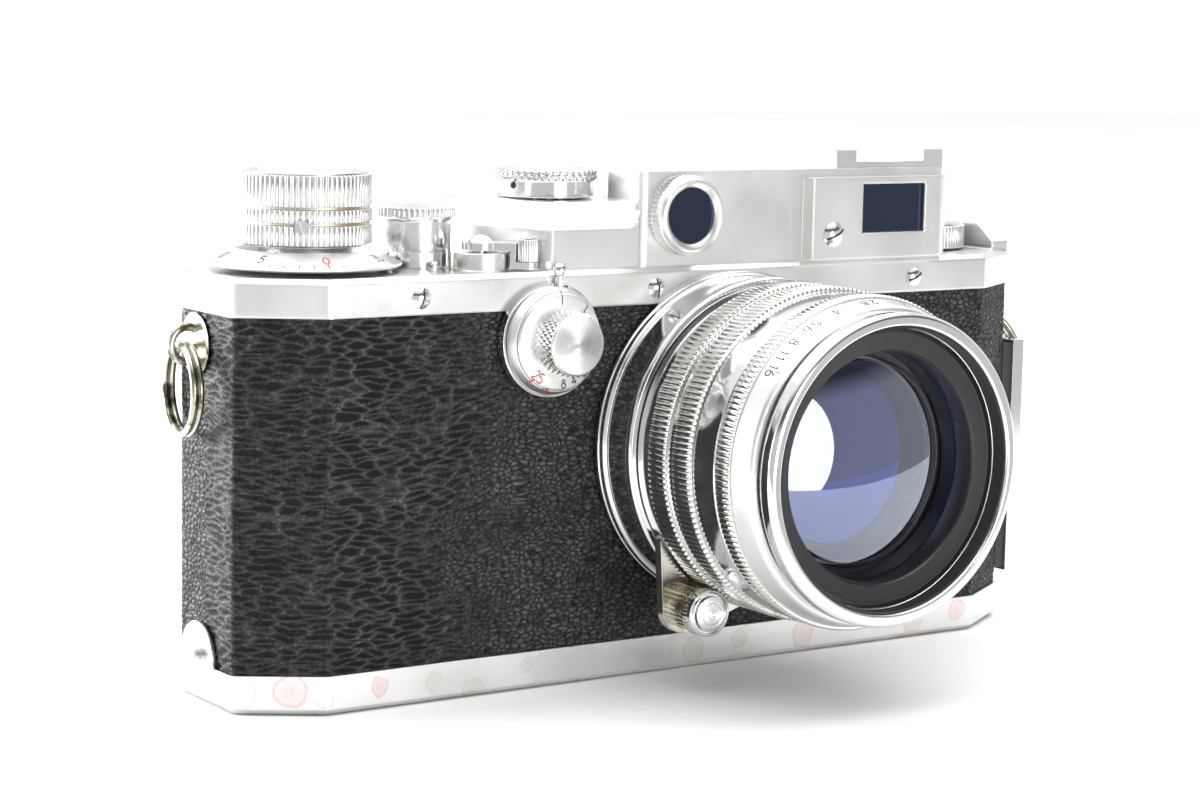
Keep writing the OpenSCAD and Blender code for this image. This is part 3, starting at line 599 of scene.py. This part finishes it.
# ---- lens ----
turned("lens_mount_ring_turned", [(19.6, 15.3), (24.4, 15.3), (24.5, 15.4), (24.5, 15.9), (24.3, 16.1),
                                  (24.3, 16.9), (23.9, 17.3), (19.6, 17.3)],
       barrel_chrome, "camera", on_lens, ["lens_mount_ring"])
turned("lens_rear_barrel_turned", [(18.6, 11.5), (19.5, 11.5), (19.5, 17.34), (23.4, 17.34), (23.9, 17.8),
                                   (23.9, 22.2), (24.2, 22.6), (24.2, 23.4), (23.9, 23.75), (21, 23.75),
                                   (21, 36.5), (19.6, 36.5), (19.6, 23), (18.6, 22)],
       chrome, "camera", on_lens, ["lens_rear_barrel"])
turned("focus_ring_core", [(21.2, 24.05), (23.1, 24.05), (23.2, 27.6), (23.35, 31.7), (23.5, 31.9),
                           (23.5, 33.3), (23.35, 33.5), (23.3, 37.5), (21.2, 37.5)],
       chrome, "focus", on_lens, ["focus_ring"])
for tag, z0, z1 in (("rear", 27.6, 31.8), ("front", 33.4, 37.5)):
    straight_knurl("focus_knurl_" + tag, 24.1, 23.2, z0, z1, 182, 0.32, knurled, "focus", on_lens)
turned("front_barrel_turned", [(17.9, 12.5), (18.45, 12.5), (18.45, 22.2), (19.3, 23.4), (19.3, 37.2),
                               (21, 37.65), (23.2, 37.65), (23.5, 38), (23.5, 42.8), (23.2, 43.05),
                               (20.5, 43.05), (20.5, 50.2), (17.9, 50.2)],
       chrome, "lens_front", on_lens, ["front_barrel"])
straight_knurl("aperture_knurl", 23.75, 22.6, 43.15, 46.2, 182, 0.28, knurled, "aperture", on_lens)
turned("aperture_scale_ring", [(20.7, 43.2), (22.7, 43.2), (22.7, 46.1), (23.25, 46.3), (23.1, 46.8),
                               (22.55, 49.4), (22.2, 49.9), (20.7, 49.9)],
       satin, "aperture", on_lens, ["aperture_ring"])
turned("front_rim_turned", [(19.7, 50.22), (21.3, 50.22), (21.5, 50.8), (21.9, 51.2), (22, 51.6), (22, 53.1),
                            (21.6, 53.55), (21.2, 53.7), (20.35, 53.7), (20.05, 53.4), (20.0, 51.0),
                            (19.7, 50.9)],
       chrome, "lens_front", on_lens, ["front_rim"], ease=0.2)
THREAD = [(19.98, 53.3 - 0.12 * k) if k % 2 else (19.75, 53.3 - 0.12 * k) for k in range(20)]
turned("filter_thread", THREAD + [(20.0, 50.9), (20.02, 53.3)], dark_metal, "lens_front", on_lens, ease=0)
turned("retaining_ring_turned", [(17.95, 50.24), (19.6, 50.24), (19.6, 50.8), (18.9, 50.8), (18.85, 50.72),
                                 (16.6, 50.5), (16.35, 50.2), (16.2, 49.6), (17.85, 49.4)],
       black, "lens_front", on_lens, ["retaining_ring"], ease=0.05)


def cap(name, edge_r, radius, apex, material, node=(), sign=1):
    """A spherical glass face, bulging out (sign 1) or in (-1)."""
    rows, cols = 18, 128
    levels = [(edge_r * k / rows, apex - sign * (radius - math.sqrt(radius ** 2 - (edge_r * k / rows) ** 2)))
              for k in range(rows + 1)]
    return mesh_piece(name, rings(levels, cols, None), grid_faces(rows + 1, cols), material, "lens_front",
                      node, on_lens, 60)


cap("front_glass", 16.15, 42, 50.15, lens_glass, ["front_element"])
cap("second_glass", 14.6, 38, 46.6, inner_glass)
cap("third_glass", 13.2, 30, 42.6, deep_glass)
cap("rear_glass", 11.0, 26, 36.0, deep_glass, sign=-1)
turned("lens_cell_front", [(14.6, 42.3), (16.2, 43.0), (16.2, 45.6), (16.5, 49.3), (17.8, 49.3), (17.8, 41.6),
                           (14.6, 41.6)], black, "lens_front", on_lens, ["inner_elements"])
turned("lens_cell_rim", [(14.35, 42.2), (14.9, 42.2), (14.9, 42.55), (14.35, 42.55)], steel, "lens_front",
       on_lens, ease=0.05)
BAFFLE = [(13.3 - 0.22 * (k // 2), 41.4 - 0.4 * k) if k % 2 else (13.75 - 0.22 * (k // 2), 41.4 - 0.4 * k)
          for k in range(18)]
turned("lens_baffle", BAFFLE + [(17.8, 34.2), (17.8, 41.5)], black, "lens_front", on_lens,
       ease=0)

# Every scale is laid out along an arc of this radius, in millimetres
SCALE_R, MOUNT_R, COUNTER_R, SLOW_R = 23, 24.5, 13, 6.6
LINE = 0.13                 # width of the fine ticks


def along(degrees, r):
    return math.radians(degrees) * r


def aperture_scale(u, v):
    """The cone behind the front rim."""
    s = 46.95 + v
    r = 23.13 - (s - 46.8) * 0.21
    a = u / SCALE_R
    return on_lens((r * math.cos(a), r * math.sin(a), s))


def mount_edge(u, v):
    r = MOUNT_R + 0.03
    return on_lens((r * math.cos(u / MOUNT_R), r * math.sin(u / MOUNT_R), 15.3 + v))


F_STOPS = [("16", 141.5), ("11", 135), ("8", 128.5), ("5.6", 120), ("4", 108), ("2.8", 94), ("2", 77),
           ("1.8", 65)]
numerals("aperture_numbers", [(text, along(a, SCALE_R), 0.1, 1.45) for text, a in F_STOPS], aperture_scale,
         ink_and_shade, "aperture", 0.18)
numerals("aperture_ticks", [("|", along(a, SCALE_R), 1.8, 0.55) for _, a in F_STOPS], aperture_scale, ink_and_shade,
         "aperture", LINE)
numerals("mount_index", [("|", along(178, MOUNT_R), 0, 0.6)], mount_edge, ink_and_shade, "camera", 0.22)


# ---- infinity catch ----
def dome(r):
    """Height of the button's rounded face."""
    return 27.6 + math.sqrt(6 ** 2 - r * r)


button_at = front_at(LENS[0] + LEVER[0], LENS[1] + LEVER[1])
BUTTON = [(0, 26), (1.5, 26), (1.5, 30.5), (3.4, 30.5), (3.4, 32.3), (3.3, 32.6), (2.9, 32.85), (2.8, 32.3),
          (2.6, 32.3), (2.55, dome(2.5)), (1.9, dome(1.9)), (1.82, dome(1.8) - 0.22),
          (1.68, dome(1.7) - 0.22), (1.6, dome(1.6)), (1.0, dome(1.0)), (0.92, dome(0.9) - 0.2),
          (0.78, dome(0.8) - 0.2), (0.7, dome(0.7) - 0.02), (0.35, dome(0.35)), (0.2, dome(0) - 0.18),
          (0, dome(0) - 0.22)]
straight_knurl("infinity_button_knurl", 3.45, 3.1, 30.5, 31.7, 40, 0.2, knurled, "infinity_catch", button_at,
               chamfer=0.15)
turned("infinity_button_turned", BUTTON, chrome, "infinity_catch", button_at, ["infinity_button"],
       cols=64, ease=0.04)

# ---- top controls ----
wind_at = top_at(*WIND)
for tag, z0, z1 in (("low", 63.9, 66.72), ("mid", 67.0, 68.92), ("high", 69.2, 73.6)):
    straight_knurl("wind_knurl_" + tag, 9.35, 8.7, z0, z1, 74, 0.34, satin_knurl, "advance", wind_at,
                   chamfer=0.1)
turned("wind_knob_turned", [(0, 49), (2.7, 49), (2.7, 54.5), (3.2, 54.5), (3.2, 62.2), (6.5, 62.2),
                            (6.5, 63.6), (8.6, 63.6), (8.8, 63.9), (8.8, 66.7), (8.8, 67.0), (8.8, 69.1),
                            (8.8, 73.6), (8.95, 73.7), (8.8, 73.95), (8.5, 74), (7.9, 73.95), (7.7, 73.7),
                            (6.9, 73.62), (0, 73.62)],
       chrome, "advance", wind_at, ["wind_knob"], ease=0.08)
for z in (66.86, 69.06):
    turned("wind_groove_%d" % z, [(8.7, z - 0.12), (9.02, z - 0.12), (9.02, z + 0.12), (8.7, z + 0.12)],
           groove, "advance", wind_at, ease=0)
turned("frame_counter_turned", [(3.6, 60.3), (10, 60.3), (13.2, 60.7), (13.55, 60.95), (13.6, 61.15),
                                (13.5, 61.26), (9.6, 63.1), (9.2, 61.8), (3.6, 61.8)],
       dial_white, "counter", wind_at, ["frame_counter"], ease=0.06)


def counter_face(u, v):
    """The counter's cone, from its rim inwards."""
    r = 13.45 - v
    return wind_at((r * math.cos(u / COUNTER_R), r * math.sin(u / COUNTER_R), 61.31 + 0.472 * v))


def polar(r, degrees):
    return r * math.cos(math.radians(degrees)), r * math.sin(math.radians(degrees))


ZERO, FRAME = -103, 9       # where the counter's zero stands, and the turn for one frame, in degrees
COUNTS = ["35", "30", "25", "20", "15", "10", "5"]
numerals("counter_numbers", [(text, along(ZERO + 5 * FRAME * (k + 1), COUNTER_R), 1.2, 1.55)
                             for k, text in enumerate(COUNTS)],
         counter_face, ink_and_shade, "counter", 0.19)
blob("counter_stud", (*polar(11.4, -20), 62), 0.72, 1.08, chrome, "counter", wind_at)
numerals("counter_ticks", [("|", along(ZERO + k * FRAME, COUNTER_R), 0.05, 1.0 if k % 5 == 0 else 0.62)
                           for k in range(1, 40)], counter_face, ink_and_shade, "counter", LINE)
numerals("counter_zero", [("0", along(ZERO, COUNTER_R), 1.2, 1.55), ("|", along(ZERO, COUNTER_R), 0.05, 1.1)],
         counter_face, red_ink, "counter", 0.19)

release_at = top_at(*RELEASE)
FOOT = [(2.3, 60.05), (5.2, 60.05), (5.2, 62.25), (4.2, 62.3), (2.3, 62.3)]
FOOT_COLS, SCOOP_R, SCOOP_TOP = 96, 13.85, 62.25


def collar_base(q, z, a, level):
    """The collar's foot, scooped out where the counter's rim runs past."""
    away = math.hypot(q * math.cos(a) + RELEASE[0] - WIND[0], q * math.sin(a))
    return q if away > SCOOP_R or z > SCOOP_TOP else q * 0.74


mesh_piece("release_collar_foot", rings(FOOT, FOOT_COLS, collar_base), grid_faces(len(FOOT), FOOT_COLS, True),
           barrel_chrome, "camera", (), release_at)
turned("release_collar_turned", [(2.9, 62.2), (4.2, 62.2), (5.2, 62.25), (5.2, 66.6), (5.3, 67),
                                 (5.55, 67.25), (5.55, 68.5), (4.9, 68.6), (2.95, 68.5)],
       barrel_chrome, "camera", release_at, ["release_collar"], ease=0.1)
straight_knurl("release_collar_knurl", 5.85, 5.3, 67.2, 68.6, 46, 0.3, satin_knurl, "camera", release_at,
               chamfer=0.12)

speed_at = top_at(*SPEED)
turned("speed_dial_turned", [(0, 53.4), (2, 53.4), (2, 69.65), (7.1, 69.65), (7.2, 69.8), (7.2, 72),
                             (7.35, 72.15), (7.35, 73.5), (7, 73.75), (6.2, 73.7), (6, 73.6), (0, 73.6)],
       chrome, "speed", speed_at, ["speed_dial"])
diamond_knurl("speed_dial_knurl", 7.65, 7.2, 72.1, 73.55, 44, knurled, "speed", speed_at)
# Painted shade: a black bead stands for the dark inside of the set hole
blob("speed_dial_set_hole", (*polar(7.0, -164), 71.4), 0.6, 1, black, "speed", speed_at)

grip_x, grip_y = polar(6.9, -40)
grip_at = top_at(SELECTOR[0] + grip_x, SELECTOR[1] + grip_y)
straight_knurl("selector_grip_knurl", 1.5, 1.1, 61.22, 64.45, 24, 0.18, satin_knurl, "selector", grip_at,
               chamfer=0.1)
turned("selector_grip_top", [(0, 61.25), (1.3, 61.25), (1.3, 64.3), (1.2, 64.72), (0, 64.72)], chrome,
       "selector", grip_at, ["selector_grip"], cols=48, ease=0.1)

rewind_at = top_at(*REWIND)
straight_knurl("rewind_knurl", 8.7, 8.0, 60.3, 63.9, 74, 0.25, satin_knurl, "rewind_grip", rewind_at,
               chamfer=0.15)
turned("rewind_knob_turned", [(0, 50), (2.2, 50), (2.2, 60.4), (8.1, 60.4), (8.3, 60.6), (8.3, 64),
                              (7.9, 64.45), (7.2, 64.7), (0, 64.7)],
       chrome, "rewind_grip", rewind_at, ["rewind_knob"], ease=0.12)

# ---- slow speed dial and windows on the front ----
dial_at = front_at(*DIAL)
turned("slow_dial_disc", [(0, 10), (2, 10), (2, 16.8), (7.55, 16.8), (7.7, 16.95), (7.7, 17.2), (7.12, 18.35),
                          (7.08, 18.1), (6.97, 18.1), (6.93, 18.6), (6.6, 18.85), (5.2, 19), (0, 19)],
       dial_white, "slow_speed", dial_at, ["slow_dial"], ease=0.06)
diamond_knurl("slow_dial_knurl", 4.6, 4.0, 18.95, 23.2, 34, knurled, "slow_speed", dial_at)
turned("slow_dial_face", [(0, 22.9), (4.25, 22.9), (4.35, 23.15), (4.1, 23.5), (0, 23.5)], fan, "slow_speed",
       dial_at, ease=0.05, cols=96)


def slow_scale(u, v):
    """The sloping rim, the step inside it and the nearly flat face."""
    r = 7.55 - v
    if r > 7:
        out = 17.2 + (7.7 - r) * 1.93
    elif r > 6.6:
        out = 18.6 + (7 - r) * 0.62
    else:
        out = 18.85 + (6.6 - r) * 0.107
    return dial_at((r * math.cos(u / SLOW_R), r * math.sin(u / SLOW_R), out + 0.05))


SLOW = [("8", -84), ("4", -67), ("2", -48), ("1", 48)]
numerals("slow_numbers", [(text, along(a, SLOW_R), 0.95, 1.2) for text, a in SLOW], slow_scale, ink_and_shade,
         "slow_speed", 0.15)
numerals("slow_ticks", [("|", along(a, SLOW_R), 0.15, 0.55) for _, a in SLOW], slow_scale, ink_and_shade,
         "slow_speed", LINE)
numerals("slow_fast_number", [("25", along(-127, SLOW_R), 0.85, 1.4), ("|", along(-130, SLOW_R), 0.15, 0.65)],
         slow_scale, red_ink, "slow_speed", 0.18)
blob("slow_red_dot", (*polar(6.95, -107), 18.62), 0.28, 0.5, red_ink, "slow_speed", dial_at)
numerals("slow_index", [("|", along(90, SLOW_R), 0.15, 2.1)], slow_scale, ink_and_shade, "slow_speed", LINE)

ring_at = front_at(0, 67.5)
straight_knurl("range_window_knurl", 5.85, 5.2, 14.55, 16.85, 54, 0.22, satin, "camera", ring_at,
               chamfer=0.15)
turned("range_window_bezel", [(2.7, 12.6), (3.3, 12.6), (3.3, 14.5), (5.5, 14.6), (5.6, 16.8), (5.25, 17.45),
                              (4.9, 17.52), (4.2, 17.1), (4.05, 16.8), (4.05, 15.7), (2.7, 15.7)],
       satin, "camera", ring_at, ["range_window_ring"], ease=0.12)


# ---- painted shade: a black sheet on the floor of each screw's slot ----
def slot_shade(name, place, r, height, turn, body):
    half_slot, reach = 0.15, 0.93
    side = Vector((-math.sin(turn), math.cos(turn))) * half_slot
    end = Vector((math.cos(turn), math.sin(turn))) * r * reach
    pts = [(*(end * a + side * b), height) for a, b in ((-1, -1), (1, -1), (1, 1), (-1, 1))]
    # Painted shade: a black quad on the slot's floor darkens the slot
    mesh_piece(name, pts, [(0, 1, 2, 3)], ink_and_shade, body, (), place)


# x, z, how far out the screw sits, its radius, the slot's floor above that, and the slot's angle
SCREWS = [(-44.2, 57, HALF_D, 1.5, 0.33, 80), (-4.8, 57, HALF_D, 1.5, 0.33, 95),
          (43.8, 57, HALF_D, 1.5, 0.33, 25), (26.1, 64.1, 17.2, 1.9, 0.42, 25)]
for number, (x, z, out, r, height, turn) in enumerate(SCREWS):
    slot_shade("screw_slot_%d" % number, front_at(x, z), r, out + height, math.radians(turn), "camera")


# ---- strap rings ----
def split_ring(name, sign, tilt, lean, node, body):
    """Two turns of wire that cross once, hung in the lug."""
    turns, per, sides, wire, ring_r, apart = 2, 72, 14, 0.5, 6.2, 0.48
    cross_from, cross_over = 0.94, 0.12
    hanger = Vector((sign * (HALF_W + 1.7), *LUG))
    turn = (Matrix.Rotation(math.radians(sign * tilt), 3, "Z")
            @ Matrix.Rotation(math.radians(-sign * lean), 3, "Y"))
    verts, count = [], turns * per
    for k in range(count):
        a = 2 * math.pi * k / per
        side = apart * math.cos(math.pi * min(1, max(0, (k / per - cross_from) / cross_over)))
        for j in range(sides):
            b = 2 * math.pi * j / sides
            r = ring_r + wire * math.cos(b)
            p = Vector((side + wire * 0.96 * math.sin(b), r * math.sin(a), r * math.cos(a) - ring_r))
            verts.append(hanger + turn @ p)
    ends = [tuple(range(sides)), tuple((count - 1) * sides + j for j in range(sides))]
    mesh_piece(name, [tuple(v) for v in verts], grid_faces(count, sides) + ends, brass, body, [node],
               None, 45)


split_ring("split_ring_left_wire", -1, 7, 0, "split_ring_left", "left_ring")
split_ring("split_ring_right_wire", 1, 0, 38, "split_ring_right", "right_ring")

# ---- finishes of the CAD nodes that are shown as they are ----
LOOKS = [
    (satin, "satin_chrome", ["top_cover", "finder_plate"]),
    (base_satin, "satin_chrome", ["base_plate"]),
    (chrome, "bright_chrome", ["cover_screws", "wind_knob_screw", "release_button", "selector_lever",
                               "slow_dial_plate", "slow_dial_lock", "accessory_shoe", "accessory_rail",
                               "magnifier_lever", "base_lock", "base_key", "film_sprocket", "rewind_shaft"]),
    (worn, "bright_chrome", ["infinity_lever"]),
    (steel, "inner_steel", ["body_shell", "inner_frame", "curtain_rollers", "tripod_bush"]),
    (steel, "coated_glass", ["finder_optics"]),
    (finder_glass, "coated_glass", ["finder_window", "range_window", "eyepiece_lens"]),
    (black, "black_paint", ["film_gate", "pressure_plate", "take_up_spool", "eyepiece_ring"]
     + ["iris_blade_%d" % k for k in range(1, 7)]),
    (cloth, "curtain_cloth", ["shutter_curtains"]),
    (plastic, "insulator", ["rail_insulator"]),
    (brass, "aged_brass", ["strap_lugs"]),
]
for material, slot_name, members in LOOKS:
    for member in members:
        node = frame["nodes"][member]
        node.data.materials.clear()
        node.data.materials.append(material)

# ---- camera, floor and light ----
# The photo's camera, from a perspective fit of the body's outline
CAMERA = Vector((-241.33, -350.85, 96.13)) * MM
YAW, PITCH, ROLL = 0.5948, -0.1348, 0.0206
FOCAL_LENGTH, SENSOR_WIDTH = 85.26, 36
forward = Vector((math.sin(YAW) * math.cos(PITCH), math.cos(YAW) * math.cos(PITCH), math.sin(PITCH)))
level = Vector((math.cos(YAW), -math.sin(YAW), 0))
rise = level.cross(forward)
right = level * math.cos(ROLL) + rise * math.sin(ROLL)
up = rise * math.cos(ROLL) - level * math.sin(ROLL)
view = bpy.data.cameras.new("view")
view.lens = FOCAL_LENGTH
view.sensor_width = SENSOR_WIDTH
camera = add_object("view", view)
camera.matrix_world = Matrix((
    (right.x, up.x, -forward.x, CAMERA.x),
    (right.y, up.y, -forward.y, CAMERA.y),
    (right.z, up.z, -forward.z, CAMERA.z),
    (0, 0, 0, 1)))
bpy.context.scene.camera = camera


def floor():
    """A finite sheet of white paper just under the base plate."""
    x0, x1, y0, y1, z = -0.5, 2, -0.16, 2, -0.0002
    mat, nodes, links, shader, coords = new_material("floor_paper")
    cloud = noise_node(nodes, links, coords, 12, 3)
    links.new(ramp_node(nodes, links, cloud.outputs[0], [(0.3, 0.90), (0.7, 0.93)]),
              shader.inputs["Base Color"])
    shader.inputs["Roughness"].default_value = 0.7
    shader.inputs["Specular IOR Level"].default_value = 0.2
    mesh = bpy.data.meshes.new("floor")
    mesh.from_pydata([(x0, y0, z), (x1, y0, z), (x1, y1, z), (x0, y1, z)], [], [(0, 1, 2, 3)])
    mesh.materials.append(mat)
    add_object("floor", mesh)


def softbox(name, at, target, size, watts, shape="RECTANGLE", size_y=None):
    data = bpy.data.lights.new(name, "AREA")
    data.energy = watts
    data.shape = shape
    data.size = size
    if size_y:
        data.size_y = size_y
    obj = add_object(name, data)
    obj.location = at
    obj.rotation_mode = "QUATERNION"
    obj.rotation_quaternion = (Vector(target) - Vector(at)).to_track_quat("-Z", "Y")


# Grey of the room in front, by height above or below eye level
BAND = [(0.0, 0.66), (0.28, 0.66), (0.40, 0.10), (0.55, 0.14), (0.72, 1.0)]


def world():
    """A white room with a dark band in front, above and below eye level."""
    room = bpy.data.worlds.new("white_room")
    bpy.context.scene.world = room
    room.use_nodes = True
    nodes, links = room.node_tree.nodes, room.node_tree.links
    back = nodes["Background"]
    split = nodes.new("ShaderNodeSeparateXYZ")
    links.new(nodes.new("ShaderNodeTexCoord").outputs["Generated"], split.inputs[0])
    height = nodes.new("ShaderNodeMath")
    height.operation = "ABSOLUTE"
    links.new(split.outputs["Z"], height.inputs[0])
    band = ramp_node(nodes, links, height.outputs[0], BAND)
    behind = ramp_node(nodes, links, range_node(nodes, links, split.outputs["Y"], 0, 1, -0.35, 0.1),
                       [(0.0, 0), (1.0, 1)])
    both = nodes.new("ShaderNodeMix")
    both.data_type = "RGBA"
    both.blend_type = "LIGHTEN"
    both.inputs[0].default_value = 1
    links.new(band, both.inputs[6])
    links.new(behind, both.inputs[7])
    links.new(both.outputs[2], back.inputs["Color"])
    back.inputs["Strength"].default_value = 1.02


floor()
world()
softbox("overhead", (0.1, 0.25, 1.0), (0.05, 0.1, 0), 1.5, 14, size_y=1.5)
softbox("back_left_panel", (-0.50, 0.52, 0.14), (-0.07, 0, 0.03), 0.5, 7.0, size_y=0.26)
sky = bpy.data.lights.new("ceiling", "SUN")
sky.energy = 0.5
sky.angle = 1.2
add_object("ceiling", sky)
softbox("round_dish", (0.018, -0.65, 0.03), (0.0095, -0.05, 0.035), 0.33, 1.9, "ELLIPSE", 0.48)

scene = bpy.context.scene
scene.view_settings.view_transform = "Standard"
scene.view_settings.look = "None"
scene.view_settings.exposure = 0
scene.view_settings.gamma = 1
